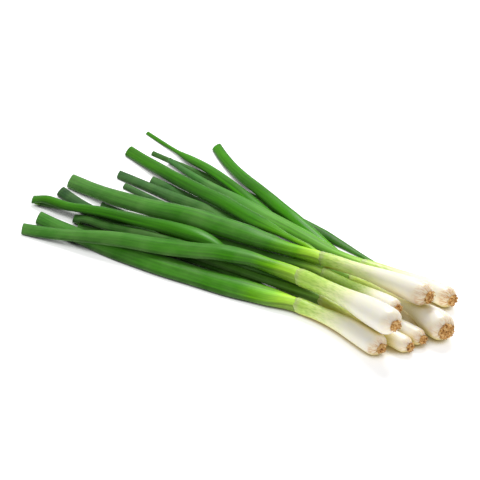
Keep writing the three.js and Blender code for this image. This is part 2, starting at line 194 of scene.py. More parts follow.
# %% [markdown]
# ## Loops of corners
# Every skin is built from loops, one for each step along the piece. A circle scaled two ways would give a
# plain oval, but the leaf of a spring onion has a soft ridge along the middle of each face. A superellipse
# gives both: with a power of 2 it is the oval, and with less its faces come to a ridge.


# %% One loop
def turn(sides):
    """Angles round a section, from its underside on."""
    return (np.arange(sides) / sides - 0.25) * 2 * np.pi


def loop_points(section, aside, width, thick, angles, power=2.0):
    roll = section[5]
    wide = width * np.sign(np.cos(angles)) * np.abs(np.cos(angles)) ** (2 / power)
    high = thick * np.sign(np.sin(angles)) * np.abs(np.sin(angles)) ** (2 / power)
    u = wide * math.cos(roll) - high * math.sin(roll)
    v = wide * math.sin(roll) + high * math.cos(roll)
    way = np.array([aside[1], -aside[0]])
    points = np.empty((len(angles), 3))
    points[:, :2] = section[:2] + u[:, None] * (aside - section[6] * way)
    points[:, 2] = section[2] + v
    return points


def asides_of(places):
    """The level direction across the piece at each place."""
    way = np.gradient(places[:, :2], axis=0)
    way /= np.linalg.norm(way, axis=1)[:, None]
    return np.stack([-way[:, 1], way[:, 0]], axis=1)


def smooth(t):
    """0 up to t = 0, 1 from t = 1 on, and a soft step between them."""
    t = np.clip(t, 0, 1)
    return t * t * (3 - 2 * t)


print("a section begins at", round(math.degrees(turn(8)[0])), "degrees")

# %% [markdown]
# ## Skins
# A skin is a grid of corners, round the section and along the piece, closed at both ends by a fan. Curves
# with a bevel make such tubes too, but their corners can't carry values. The UV map is in metres, round and
# along, with its seam underneath, and each corner has three values for the materials: run, its place along
# the plant, cut, how far it is on a cut or inner side, and the third, its lightness, which holds painted
# light and shade.

# %% Faces and map of a skin
LIFT = 0.04 * MM  # air left under a piece that lies on the table


def kept_inside(points):
    """Corners moved back into the CAD box, just above the table."""
    return np.clip(points, np.array(CAD_BOX[0]) + [0, 0, LIFT], CAD_BOX[1])


def skin_faces(count, sides):
    """A fan at each end and a band between each loop and the next."""
    last = count * sides + 1
    top = last - sides
    faces = [(0, 1 + (k + 1) % sides, 1 + k) for k in range(sides)]
    faces += [(last, top + k, top + (k + 1) % sides) for k in range(sides)]
    for j in range(count - 1):
        low = 1 + j * sides
        high = low + sides
        faces += [(low + k, low + (k + 1) % sides, high + (k + 1) % sides, high + k) for k in range(sides)]
    return faces


def lay_map(mesh, loops, runs):
    sides = len(loops[0])
    last = len(loops) * sides + 1
    girth = np.median([np.linalg.norm(np.roll(loop, -1, 0) - loop, axis=1).sum() for loop in loops])
    rounds = np.concatenate([[0], np.tile(np.arange(sides), len(loops)), [0]]) / sides * girth
    layer = mesh.uv_layers.new(name="skin")
    for face in mesh.polygons:
        wraps = len({c for c in face.vertices if 0 < c < last and (c - 1) % sides in (0, sides - 1)}) > 2
        for corner, vertex in zip(face.loop_indices, face.vertices):
            seam = wraps and 0 < vertex < last and (vertex - 1) % sides == 0
            layer.data[corner].uv = (girth if seam else rounds[vertex], runs[vertex])


print("faces on 10 loops of 40 corners:", len(skin_faces(10, 40)))


# %% A skin as an object
def at_corners(values, sides):
    """One value for each loop, given to its corners, and to the point at each end."""
    return np.concatenate([[values[0]], np.repeat(values, sides), [values[-1]]])


def skin_object(name, loops, run, cut, shade_and_tone):
    """A closed mesh through the loops. run and cut have a value for each loop, the lightness with its painted
    light and shade one for each corner.
    """
    sides = len(loops[0])
    points = kept_inside(np.vstack([loops[0].mean(0), *loops, loops[-1].mean(0)]))
    mesh = bpy.data.meshes.new(name)
    mesh.from_pydata(points.tolist(), [], skin_faces(len(loops), sides))
    runs = at_corners(run, sides)
    lay_map(mesh, loops, runs)
    shades_and_tones = np.concatenate([shade_and_tone[0, :1], shade_and_tone.ravel(), shade_and_tone[-1, :1]])
    for label, values in (("run", runs), ("cut", at_corners(cut, sides)), ("shade_and_tone", shades_and_tones)):
        mesh.attributes.new(label, "FLOAT", "POINT").data.foreach_set("value", values)
    mesh.polygons.foreach_set("use_smooth", np.ones(len(mesh.polygons), bool))
    mesh.update()
    made = bpy.data.objects.new(name, mesh)
    bpy.context.collection.objects.link(made)
    return made


slots = {entry["node"]: entry["material_slot"] for entry in frame["record"]["subparts"]}
print("material slots:", sorted(set(slots.values())))

# %% [markdown]
# ## Colours and nodes
# Colours are picked as they look on a screen, while shaders count light, so one function turns a picked
# colour into a linear one. Another adds a node with its settings and links, which keeps a material short.


# %% Shader helpers
def linear(code):
    channels = [int(code[i : i + 2], 16) / 255 for i in (1, 3, 5)]
    return (*[c / 12.92 if c <= 0.04045 else ((c + 0.055) / 1.055) ** 2.4 for c in channels], 1.0)


def plug(tree, made, links):
    """Gives a node's inputs a value, a socket, or a node, of which the first output is meant."""
    for name, value in links.items():
        if isinstance(value, bpy.types.Node):
            value = value.outputs[0]
        if isinstance(value, bpy.types.NodeSocket):
            tree.links.new(value, made.inputs[name])
        else:
            made.inputs[name].default_value = value


def add(tree, kind, links=None, **settings):
    """Adds one node. Settings are its own properties, and links are its inputs."""
    made = tree.nodes.new(kind)
    for name, value in settings.items():
        setattr(made, name, value)
    plug(tree, made, links or {})
    return made


def set_stops(ramp, stops):
    """Fills a colour ramp with (place, colour code) stops."""
    elements = ramp.color_ramp.elements
    while len(elements) < len(stops):
        elements.new(0.5)
    for element, (place, code) in zip(elements, stops):
        element.position = place
        element.color = linear(code)


def new_material(name, finish):
    """A material with one shader. finish gives the inputs that are the same all over the surface."""
    made = bpy.data.materials.new(name)
    made.use_nodes = True
    tree = made.node_tree
    tree.nodes.clear()
    shader = add(tree, "ShaderNodeBsdfPrincipled", finish)
    add(tree, "ShaderNodeOutputMaterial", {"Surface": shader})
    return made, tree, shader


print("middle grey as light:", round(linear("#808080")[0], 3))

# %% [markdown]
# ## Leaf colour
# A leaf is pale yellow green at its sheath and deepens over its first few centimetres. One green all over
# would look like plastic. A ramp along the leaf's own length follows it however it bends, and patches on
# Object coordinates shift the ramp a little, so that no two leaves change colour at one place.

# %% Colour along a leaf
LEAF_REACH = 0.25  # a leaf has the last colour of its ramp this far from its sheath, in metres
PATCH_SCALE = 28.0  # patches of about 36 mm
PATCH_SHIFT = 0.16  # how far apart along the ramp two patches are


def leaf_tint(tree, place, stops):
    run = add(tree, "ShaderNodeAttribute", attribute_name="run")
    patches = add(tree, "ShaderNodeTexNoise", {
        "Vector": place.outputs["Object"], "Scale": PATCH_SCALE, "Detail": 3.0})
    shift = add(tree, "ShaderNodeMath", {0: patches, 1: PATCH_SHIFT}, operation="MULTIPLY")
    share = add(tree, "ShaderNodeMath", {0: run.outputs["Fac"], 1: 1 / LEAF_REACH}, operation="MULTIPLY")
    moved = add(tree, "ShaderNodeMath", {0: share, 1: shift}, operation="ADD")
    placed = add(tree, "ShaderNodeMath", {0: moved, 1: PATCH_SHIFT / 2}, operation="SUBTRACT")
    ramp = add(tree, "ShaderNodeValToRGB", {"Fac": placed})
    set_stops(ramp, stops)
    return ramp


print("a leaf deepens over", LEAF_REACH / MM, "mm")

# %% [markdown]
# ## Veins, streaks and wax
# Parallel veins run along a leaf, broader streaks lie over them, and older leaves are dusted with wax. Lines
# of a wave texture are too even. Noise stretched along the UV map gives lines that start and end, and it
# drives the relief too, so that light and shade agree.

# %% Patterns of a leaf
VEIN_SCALE = (1000.0, 16.0, 1.0)  # 0.5 mm apart on a real leaf, 1 mm here so that they show, and 60 mm long
STREAK_SCALE = (330.0, 9.0, 1.0)  # 3 mm apart and 110 mm long
WAX_SCALE = 60.0  # clouds of about 17 mm


def leaf_patterns(tree, place):
    fine = add(tree, "ShaderNodeMapping", {"Vector": place.outputs["UV"], "Scale": VEIN_SCALE})
    veins = add(tree, "ShaderNodeTexNoise", {"Vector": fine, "Scale": 1.0, "Detail": 2.0})
    broad = add(tree, "ShaderNodeMapping", {"Vector": place.outputs["UV"], "Scale": STREAK_SCALE})
    streaks = add(tree, "ShaderNodeTexNoise", {"Vector": broad, "Scale": 1.0, "Detail": 3.0})
    clouds = add(tree, "ShaderNodeTexNoise", {
        "Vector": place.outputs["Object"], "Scale": WAX_SCALE, "Detail": 5.0})
    return veins, streaks, clouds


def leaf_light(tree, veins, streaks):
    """How light a place is: veins and streaks times the leaf's lightness, which holds painted light and
    shade.
    """
    fine = add(tree, "ShaderNodeMapRange", {
        "Value": veins, "From Min": 0.35, "From Max": 0.65, "To Min": 0.76, "To Max": 1.24})
    broad = add(tree, "ShaderNodeMapRange", {
        "Value": streaks, "From Min": 0.3, "From Max": 0.7, "To Min": 0.82, "To Max": 1.18})
    both = add(tree, "ShaderNodeMath", {0: fine, 1: broad}, operation="MULTIPLY")
    # the corner's painted light and shade: the lit face above the ridge, and leaves deep in the bunch darker
    own = add(tree, "ShaderNodeAttribute", attribute_name="shade_and_tone")
    return add(tree, "ShaderNodeMath", {0: both, 1: own.outputs["Fac"]}, operation="MULTIPLY")


print("streaks in mm:", round(1 / STREAK_SCALE[0] / MM, 1))

# %% [markdown]
# ## Leaf materials
# The bunch has three kinds of leaf: fully green ones, bright young ones from the middle of a plant, and older
# bluish ones. A mix of one material could give all three, but separate ramps are easier to match. All
# are one shader with a little light inside the skin, and no clear coat, because the wax keeps the gloss soft.

# %% Leaf materials
WAX_COLOUR = "#94c070"
CUT_COLOUR = "#4d7a1c"
VEIN_RELIEF = 0.15 * MM
STREAK_RELIEF = 0.3 * MM
LEAF_FINISH = {
    "IOR": 1.42,  # plant cuticle
    "Specular IOR Level": 0.25,
    "Subsurface Weight": 0.12,
    "Subsurface Radius": (0.5, 1.0, 0.2),  # green light goes furthest
    "Subsurface Scale": 1.2 * MM,
}


def leaf_material(name, stops, wax, roughness):
    made, tree, shader = new_material(name, LEAF_FINISH)
    place = add(tree, "ShaderNodeTexCoord")
    veins, streaks, clouds = leaf_patterns(tree, place)
    toned = add(tree, "ShaderNodeHueSaturation", {
        "Color": leaf_tint(tree, place, stops), "Value": leaf_light(tree, veins, streaks)})
    dust = add(tree, "ShaderNodeMapRange", {
        "Value": clouds, "From Min": 0.35, "From Max": 0.75, "To Min": 0.0, "To Max": wax})
    dusted = add(tree, "ShaderNodeMixRGB", {"Fac": dust, "Color1": toned, "Color2": linear(WAX_COLOUR)})
    cut = add(tree, "ShaderNodeAttribute", attribute_name="cut")
    opened = add(tree, "ShaderNodeMixRGB", {
        "Fac": cut.outputs["Fac"], "Color1": dusted, "Color2": linear(CUT_COLOUR)})
    dull = add(tree, "ShaderNodeMapRange", {
        "Value": clouds, "To Min": roughness - 0.06, "To Max": roughness + 0.1})
    relief = add(tree, "ShaderNodeBump", {"Height": veins, "Strength": 0.4, "Distance": VEIN_RELIEF})
    wide_relief = add(tree, "ShaderNodeBump", {
        "Height": streaks, "Strength": 0.5, "Distance": STREAK_RELIEF, "Normal": relief})
    plug(tree, shader, {"Base Color": opened, "Roughness": dull, "Normal": wide_relief})
    return made


GREEN_STOPS = [(0.0, "#b8dc58"), (0.05, "#9ccc30"), (0.1, "#68a80a"), (0.18, "#367a02"), (0.3, "#2f7006"),
               (0.55, "#39761c"), (0.8, "#3b7424"), (1.0, "#346822")]
YOUNG_STOPS = [(0.0, "#b2dc34"), (0.06, "#90ce10"), (0.16, "#5aa200"), (0.32, "#367c00"), (0.7, "#327800"),
               (1.0, "#3a7c08")]
WAXY_STOPS = [(0.0, "#9cca54"), (0.08, "#72ac30"), (0.2, "#549620"), (0.5, "#47862e"), (0.8, "#376a2e"),
              (1.0, "#305a2e")]
leaf_looks = {
    # grown leaf with some wax: deep green, with a satin gloss in long broken streaks
    "green_leaf": leaf_material("fresh_green_leaf", GREEN_STOPS, 0.24, 0.4),
    # young leaf with hardly any wax: bright yellow green, and a little glossier
    "young_leaf": leaf_material("fresh_young_leaf", YOUNG_STOPS, 0.04, 0.36),
    # older leaf with its full wax: dull, greyed and bluish towards its end
    "waxy_leaf": leaf_material("waxy_blue_green_leaf", WAXY_STOPS, 0.22, 0.44),
}
print("leaf materials:", sorted(m.name for m in leaf_looks.values()))

# %% [markdown]
# ## Shank colour
# Under the ground the plant stays white, and it turns green towards the light, its veins first. A clean
# gradient would lack those. So a ramp gives the ground colour from the roots to the mouth, where run goes
# from 0 to 1, and green veins fade in over it.

# %% Colour along a shank
SHANK_STOPS = [(0.0, "#f7ead2"), (0.12, "#fff7e9"), (0.42, "#fef9e2"), (0.58, "#f6f8c9"), (0.72, "#e8f4aa"),
               (0.86, "#d4ec86"), (1.0, "#bcdf66")]
SHANK_PATCH_SCALE = 40.0  # patches of 25 mm
SHANK_SHIFT = 0.12  # how far a patch moves the colours, as a share of the shank's length
SHANK_VEIN_COLOUR = "#a2cc50"


def shank_tint(tree, place, veins):
    """The colour of the shank, and its place from the roots to the mouth with the patches in it."""
    run = add(tree, "ShaderNodeAttribute", attribute_name="run")
    patches = add(tree, "ShaderNodeTexNoise", {
        "Vector": place.outputs["Object"], "Scale": SHANK_PATCH_SCALE, "Detail": 3.0})
    shift = add(tree, "ShaderNodeMapRange", {"Value": patches, "To Min": -SHANK_SHIFT, "To Max": SHANK_SHIFT})
    along = add(tree, "ShaderNodeMath", {0: run.outputs["Fac"], 1: shift}, operation="ADD")
    ramp = add(tree, "ShaderNodeValToRGB", {"Fac": along})
    set_stops(ramp, SHANK_STOPS)
    lines = add(tree, "ShaderNodeMapRange", {"Value": veins, "From Min": 0.46, "From Max": 0.62})
    upper = add(tree, "ShaderNodeMapRange", {
        "Value": along, "From Min": 0.42, "From Max": 1.0, "To Min": 0.0, "To Max": 0.75})
    green = add(tree, "ShaderNodeMath", {0: lines, 1: upper}, operation="MULTIPLY")
    veined = add(tree, "ShaderNodeMixRGB", {
        "Fac": green, "Color1": ramp, "Color2": linear(SHANK_VEIN_COLOUR)})
    return veined, along


print("shank colours:", len(SHANK_STOPS))

# %% [markdown]
# ## Stains, glow and lips
# Round the root plate the skin is marked by short tan strokes, where old roots tore off. Between bulbs that
# lie close, light has gone through white flesh and comes out yellow: a path of many bounces that a render
# would need long for, so the depth of a nook, read by ambient occlusion, tints it with painted yellow bounce
# light and shade. The thin lip is pale.

# %% Marks on a shank
STROKE_SCALE = (1500.0, 30.0, 1.0)  # 0.7 mm wide and 33 mm long, so only part of a stroke is in the stain
STAIN_COLOUR = "#d09a50"
NOOK_REACH = 14 * MM
NOOK_BOUNCE_COLOUR = "#d3c352"
LIP_COLOUR = "#dff09c"


def shank_stain(tree, place, colour, along):
    near = add(tree, "ShaderNodeMapRange", {
        "Value": along, "From Min": -0.02, "From Max": 0.075, "To Min": 0.6, "To Max": 0.0})
    fine = add(tree, "ShaderNodeMapping", {"Vector": place.outputs["UV"], "Scale": STROKE_SCALE})
    marks = add(tree, "ShaderNodeTexNoise", {"Vector": fine, "Scale": 1.0, "Detail": 2.0})
    strokes = add(tree, "ShaderNodeMapRange", {
        "Value": marks, "From Min": 0.46, "From Max": 0.58, "To Min": 0.15, "To Max": 1.5})
    stain = add(tree, "ShaderNodeMath", {0: near, 1: strokes}, operation="MULTIPLY", use_clamp=True)
    return add(tree, "ShaderNodeMixRGB", {"Fac": stain, "Color1": colour, "Color2": linear(STAIN_COLOUR)})


# painted yellow bounce light and shade: the deeper a nook, the more of the nook colour
def shank_glow(tree, colour):
    nook = add(tree, "ShaderNodeAmbientOcclusion", {"Distance": NOOK_REACH}, samples=8)
    depth = add(tree, "ShaderNodeMapRange", {
        "Value": nook.outputs["AO"], "From Min": 0.12, "From Max": 0.62, "To Min": 0.85, "To Max": 0.0})
    return add(tree, "ShaderNodeMixRGB", {"Fac": depth, "Color1": colour, "Color2": linear(NOOK_BOUNCE_COLOUR)})


def shank_lip(tree, veins, colour):
    bare = add(tree, "ShaderNodeMapRange", {
        "Value": veins, "From Min": 0.4, "From Max": 0.6, "To Min": 1.0, "To Max": 0.45})
    cut = add(tree, "ShaderNodeAttribute", attribute_name="cut")
    paled = add(tree, "ShaderNodeMath", {0: cut.outputs["Fac"], 1: bare}, operation="MULTIPLY")
    return add(tree, "ShaderNodeMixRGB", {"Fac": paled, "Color1": colour, "Color2": linear(LIP_COLOUR)})


print("glow in nooks under", NOOK_REACH / MM, "mm")

# %% Shank material
SHANK_VEIN_SCALE = (800.0, 14.0, 1.0)  # 1.2 mm apart and 70 mm long
SHANK_RELIEF = 0.12 * MM
SHANK_FINISH = {
    "Roughness": 0.3,  # moist skin
    "IOR": 1.4,
    "Subsurface Weight": 0.5,
    "Subsurface Radius": (1.0, 0.9, 0.45),  # blue light is lost first, so thin edges look warm
    "Subsurface Scale": 2.5 * MM,
}


def shank_material():
    made, tree, shader = new_material("moist_white_shank", SHANK_FINISH)
    place = add(tree, "ShaderNodeTexCoord")
    stretch = add(tree, "ShaderNodeMapping", {"Vector": place.outputs["UV"], "Scale": SHANK_VEIN_SCALE})
    noise = add(tree, "ShaderNodeTexNoise", {"Vector": stretch, "Scale": 1.0, "Detail": 3.0})
    veins = noise
    tint, along = shank_tint(tree, place, veins)
    colour = shank_lip(tree, veins, shank_glow(tree, shank_stain(tree, place, tint, along)))
    # painted shade: shanks deep in the bunch darker towards their mouths
    own = add(tree, "ShaderNodeAttribute", attribute_name="shade_and_tone")
    toned = add(tree, "ShaderNodeHueSaturation", {"Color": colour, "Value": own.outputs["Fac"]})
    relief = add(tree, "ShaderNodeBump", {"Height": veins, "Strength": 0.35, "Distance": SHANK_RELIEF})
    plug(tree, shader, {"Base Color": toned, "Normal": relief})
    return made


# peeled onion flesh: a clean wet shine on top, and soft shadows that light creeps into
white_shank = shank_material()
print("shank material:", white_shank.name)

# %% [markdown]
# ## Root material
# The plate and its stubs are dry fibre, dark brown in the cracks and straw on the tips. Each stub could have
# its own colour, but fine noise over all of them gives the same broken look.

# %% Root material
GRAIN_SCALE = 700.0  # grain of 1.4 mm and its finer detail
GRAIN_RELIEF = 0.2 * MM
ROOT_STOPS = [(0.32, "#6b3c14"), (0.42, "#b37a36"), (0.52, "#d6a45c"), (0.66, "#f0d49c")]


def root_material():
    made, tree, shader = new_material("dry_brown_roots", {"Roughness": 0.75})
    place = add(tree, "ShaderNodeTexCoord")
    grain = add(tree, "ShaderNodeTexNoise", {
        "Vector": place.outputs["Object"], "Scale": GRAIN_SCALE, "Detail": 5.0})
    ramp = add(tree, "ShaderNodeValToRGB", {"Fac": grain})
    set_stops(ramp, ROOT_STOPS)
    relief = add(tree, "ShaderNodeBump", {"Height": grain, "Strength": 0.7, "Distance": GRAIN_RELIEF})
    plug(tree, shader, {"Base Color": ramp, "Normal": relief})
    return made


# dry plant fibre: dull and rough, tan with dark pits
brown_roots = root_material()
print("root material:", brown_roots.name)

# %% [markdown]
# ## Where leaves leave the shank
# The first leaf of a plant fills the mouth of its sheath, and the inner ones come up beside it, wrapped in
# it. In the CAD part those begin where they come into sight. Left so, they would float, so each gets a hidden
# base: a curve from the middle of the shank, further down, that runs into the leaf in its own direction.

# %% Mouth of a sheath
SKIN_SHARE = 0.975  # the fine skin runs between the corners of the CAD facets, at 1, and their flats
LIP_TAPER = 0.03  # a sheath draws in at its lip
NECK_FLARE = 0.12  # and widens there round the leaves that leave it
LIP_WALL = 0.3 * MM
LEAF_PLAY = 0.1 * MM  # air between a leaf and its sheath


def mouth_radius(bulb):
    end = sections[bulb][-1]
    return 0.5 * (end[3] + end[4]) * SKIN_SHARE * (1 - LIP_TAPER) * (1 + NECK_FLARE)


print("mouths in mm:", [round(2 * mouth_radius(n) / MM, 1) for n in bulb_nodes])

# %% Hidden base of an inner leaf
BASE_LEAD = 16 * MM  # it leaves the middle of its shank at least this far before it comes into sight
BASE_SHARE = 0.7  # its breadth deep in the sheath against where it comes into sight


def base_of(bulb, spine):
    """Sections from inside the sheath up to the first one of the leaf, and how long they run."""
    start = spine[0]
    way = (spine[3, :3] - start[:3]) / np.linalg.norm(spine[3, :3] - start[:3])
    neck = sections[bulb][:, :3]
    ahead = (neck[-1] - neck[-2]) / np.linalg.norm(neck[-1] - neck[-2])
    lead = (start[:3] - neck) @ ahead
    k = min(len(neck) - 2, np.flatnonzero(lead >= BASE_LEAD)[-1])
    root = neck[k]
    ahead = (neck[k + 1] - root) / np.linalg.norm(neck[k + 1] - root)
    reach = np.linalg.norm(start[:3] - root)
    t = np.linspace(0, 1, int(reach / LEAF_STEP) + 2)[:-1, None]
    curve = (1 + 2 * t) * (1 - t) ** 2 * root + t**2 * (3 - 2 * t) * start[:3]
    curve += reach * (t * (1 - t) ** 2 * ahead - t**2 * (1 - t) * way)
    half = start[3:5] * (BASE_SHARE + (1 - BASE_SHARE) * t)
    return np.hstack([curve, half, start[5] * t, 0 * t]), reach


sample = base_of("onion_1_bulb", spine_of("onion_1_leaf_2", LEAF_STEP)[1])
print("hidden base of the first inner leaf in mm:", round(sample[1] / MM, 1))

# %% [markdown]
# ## The outer skin of a leaf
# A leaf comes out of its sheath round, flattens to an oval tube with a ridge along each face, and wavers a
# little, as a hollow tube does. A lattice could bend a cylinder so, but for one size of leaf only. So each
# loop gets its breadth, thickness and ridge from how far along the leaf it is.

# %% Loops along a leaf
LEAF_ANGLES = turn(40)
FILL_REACH = 40 * MM  # over this stretch a leaf goes from filling its sheath to its own breadth
STRAIGHT = 4 * MM  # it stays within its sheath this far, and then may spread
SPREAD = 0.3  # millimetres that it may spread for each one along
PLAIN_RIDGE = 1.8  # 2 is a plain oval section, and less gives a ridge
LEAF_RIDGES = {"onion_1_leaf_1": 1.55, "onion_7_leaf_2": 1.65, "onion_7_leaf_1": 1.7}
RIDGE_START, RIDGE_GROWTH, RIDGE_FADE = 15 * MM, 40 * MM, 25 * MM
LEAF_SWELLS = {"onion_7_leaf_1": 0.3}  # extra breadth of the stretch next to the shank
SWELL_GROWTH, SWELL_END, SWELL_FADE = 15 * MM, 160 * MM, 60 * MM
END_PINCH = 0.12  # share by which the knife pressed the cut end flatter
PINCH_REACH = 16 * MM
WIDTH_WAVER, THICK_WAVER, TURN_WAVER = (0.02, 47 * MM), (0.05, 61 * MM), (0.02, 80 * MM)


def waver(share, length, s, phase):
    """A slow change about 1, repeated after each length."""
    return 1 + share * np.sin(2 * np.pi * s / length + phase)


def leaf_body(node, run, spine, mouth, phase):
    """mouth is the room in the sheath that the leaf fills, or None for an inner leaf."""
    length = run[-1]
    full = mouth / (SKIN_SHARE * spine[0, 3]) if mouth else 1.0
    ridge = LEAF_RIDGES.get(node, PLAIN_RIDGE)
    loops = []
    for s, section, side in zip(run, spine, asides_of(spine)):
        swell = smooth(s / SWELL_GROWTH) * smooth((SWELL_END - s) / SWELL_FADE)
        fill = 1 + (full - 1) * (1 - smooth(s / FILL_REACH))
        fill *= SKIN_SHARE * (1 + LEAF_SWELLS.get(node, 0.0) * swell)
        pinch = 1 - END_PINCH * smooth((s - length + PINCH_REACH) / PINCH_REACH)
        most = mouth + SPREAD * max(0.0, s - STRAIGHT) if mouth else math.inf
        width = min(most, section[3] * fill * waver(*WIDTH_WAVER, s, phase[0]))
        thick = min(most, section[4] * fill * waver(*THICK_WAVER, s, phase[1]) * pinch)
        ridged = smooth((s - RIDGE_START) / RIDGE_GROWTH) * smooth((length - s) / RIDGE_FADE)
        loop = loop_points(section, side, width, thick, LEAF_ANGLES, 2 + (ridge - 2) * ridged)
        middle = loop.mean(0)
        wave = waver(*TURN_WAVER, s, 3 * LEAF_ANGLES + phase[2])
        loops.append(middle + (loop - middle) * wave[:, None])
    return loops


print("corners round a leaf:", len(LEAF_ANGLES))

# %% [markdown]
# ## The hollow cut end
# A trimmed leaf shows a thin wall and a dark tube. Solidify would need an open piece. Here the skin goes on
# over the rim, turns back inside and ends in a floor, so the mesh stays closed, and its cut value rises from
# the rim on for the colour of the inside.

# %% Loops over the rim
LEAF_WALL = 0.55 * MM
HOLLOW_DEPTH = 7 * MM
THINNEST = 0.25 * MM  # least half height of the hollow
# how much of the wall the loop is in, how deep as a share of the hollow, and its cut value
RIM = ((0.5, -0.024, 0.6), (1.0, 0.0, 1.0), (1.0, 0.35, 1.0), (1.0, 1.0, 1.0))


def leaf_rim(end, side):
    back = np.array([side[1], -side[0], 0.0])
    width = SKIN_SHARE * end[3]
    thick = SKIN_SHARE * end[4] * (1 - END_PINCH)
    loops = []
    for inset, depth, _ in RIM:
        wall = inset * LEAF_WALL
        loop = loop_points(end, side, width - wall, max(thick - wall, THINNEST), LEAF_ANGLES)
        loops.append(loop - back * depth * HOLLOW_DEPTH)
    return loops


print("hollow in mm:", HOLLOW_DEPTH / MM, "behind a wall of", LEAF_WALL / MM)

# %% [markdown]
# ## The leaves
# The face above a leaf's ridge catches the light, and the one under it doesn't. So soft a fold is too low
# for the lamps alone, so each corner has painted light and shade: lighter above and darker below, times the
# lightness of this leaf against its kind, partly its own colour and partly painted shade deep in the bunch,
# matched one by one.

# %% Make the leaves
ROUND_BASE = 0.1  # a leaf whose base is rounder than this fills its sheath
# painted light and shade on a leaf: the face above its ridge lighter, the face below darker
RIDGE_EDGE, RIDGE_SOFT = 0.35, 0.3  # where round the section, as a sine, the lighter face begins
# each leaf's lightness: partly its own colour, partly painted shade for leaves deep in the bunch
LEAF_SHADES_AND_TONES = {
    "onion_1_leaf_1": 0.95, "onion_1_leaf_2": 0.72, "onion_2_leaf_1": 0.62, "onion_2_leaf_2": 0.6,
    "onion_3_leaf_1": 0.6, "onion_3_leaf_2": 0.68, "onion_4_leaf_1": 0.7, "onion_4_leaf_2": 0.75,
    "onion_5_leaf_1": 0.75, "onion_6_leaf_1": 0.55, "onion_7_leaf_1": 0.8, "onion_7_leaf_2": 0.92,
    "onion_8_leaf_1": 1.08, "onion_8_leaf_2": 0.84,
}


def leaf_shade_and_tone(node, count):
    ridge = LEAF_RIDGES.get(node, PLAIN_RIDGE)
    face = 2 * smooth((np.sin(LEAF_ANGLES) - RIDGE_EDGE) / RIDGE_SOFT) - 1
    return LEAF_SHADES_AND_TONES.get(node, 1.0) * np.tile(1 + (2 - ridge) * face, (count, 1))


def make_leaf(node, number):
    draw = np.random.default_rng(SEED + number)
    bulb = node.split("_leaf")[0] + "_bulb"
    run, spine = spine_of(node, LEAF_STEP)
    mouth = None
    if spine[0, 3] - spine[0, 4] < ROUND_BASE * spine[0, 3]:
        mouth = mouth_radius(bulb) - LIP_WALL - LEAF_PLAY
    else:
        base, hidden = base_of(bulb, spine)
        run = np.concatenate([np.arange(len(base)) / len(base) * hidden, run + hidden])
        spine = np.vstack([base, spine])
    body = leaf_body(node, run, spine, mouth, draw.uniform(0, 2 * np.pi, 3))
    loops = body + leaf_rim(spine[-1], asides_of(spine)[-1])
    runs = np.append(run, [run[-1]] * len(RIM))
    cuts = np.append(np.zeros(len(run)), [value for *_, value in RIM])
    made = skin_object(node + "_skin", loops, runs, cuts, leaf_shade_and_tone(node, len(loops)))
    slot = slots[node]
    made.data.materials.append(leaf_looks[slot])
    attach(made, "root")
    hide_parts(node)
    return made


leaves = [make_leaf(node, number) for number, node in enumerate(leaf_nodes)]
print("leaves:", len(leaves), "faces:", sum(len(o.data.polygons) for o in leaves))

# %% [markdown]
# ## Bulbs and shanks
# The white part is round: a low bulb, a shank that is slimmer in its middle, and a neck. Its sheath thins out
# to a lip that was torn at a slant, and lower down the edge of an older skin shows as a fine step. A turned
# profile would give the bulb but not the bend, so the same kind of loops is used as for the leaves.

# %% Girth of a shank
BULB_ANGLES = turn(64)
BULB_STEP = 0.8 * MM
LIP_LENGTH = 9 * MM  # stretch over which a sheath draws in to its lip
FLARE_START = 0.68  # share of the length, from the roots on, where the neck begins to widen
PLAIN_WAIST = 0.03  # how much slimmer a shank is in its middle than its solid
BULB_WAISTS = {"onion_1_bulb": 0.12, "onion_7_bulb": 0.2, "onion_8_bulb": 0.05}
WAIST_SHARE = 0.8  # share of the length, from the mouth on, that is slimmer
OLD_SKIN = 0.14 * MM  # thickness of an older skin
STEP_SWEEP, STEP_EDGE = 5 * MM, 0.25 * MM  # its edge runs this far along the shank, and is this sharp
FIVE_LOBES, TWO_LOBES = 0.006, 0.008  # how far lobes stand out, as a share of the radius
LOBE_TURN = 25 * MM  # length in which the two lobes turn by one radian


def bulb_girth(node, s, length, radius, step_at, step_side):
    """How far the corners of a loop stand out, s from the roots."""
    taper = 1 - LIP_TAPER * smooth((s - length + LIP_LENGTH) / LIP_LENGTH)
    flare = 1 + NECK_FLARE * smooth((s / length - FLARE_START) / (1 - FLARE_START))
    bend = math.sin(np.pi * min(1.0, (1 - s / length) / WAIST_SHARE)) ** 2
    waist = 1 - BULB_WAISTS.get(node, PLAIN_WAIST) * bend
    older = 1 / (1 + np.exp((s - step_at - STEP_SWEEP * np.cos(BULB_ANGLES - step_side)) / STEP_EDGE))
    girth = radius * taper * flare * waist + OLD_SKIN * (older - 0.5)
    lobes = FIVE_LOBES * np.sin(5 * BULB_ANGLES + step_side)
    lobes += TWO_LOBES * np.sin(2 * BULB_ANGLES + s / LOBE_TURN)
    return girth * (1 + lobes)


print("corners round a bulb:", len(BULB_ANGLES))

# %% [markdown]
# ## Lips
# The mouth of a sheath is torn: one side reaches further than the other, and the edge is uneven. A boolean
# cut would leave it hard. Here the last loops lean back with a slant, which fades out down the shank, and
# then turn inside to close the mesh round the leaf.

# %% The lip of a sheath
LIP_PALE = 7 * MM  # the thin end of a sheath is paler over this stretch
LIP_CUT = 0.6  # how much paler, as its cut value
LIP_SLANT = 5 * MM  # how much further the lip reaches on one side than on the other
LIP_TEAR = 0.35 * MM  # unevenness of the lip
SLANT_REACH = 3 * LIP_SLANT
LIP_FLOOR = 6.0  # the slant is gone this many millimetres inside
# how much of the wall the loop is in, and how many millimetres inside
LIP_LOOPS = ((0.5, 0.0), (1.0, 0.4), (1.0, 2.0), (1.0, 4.2))


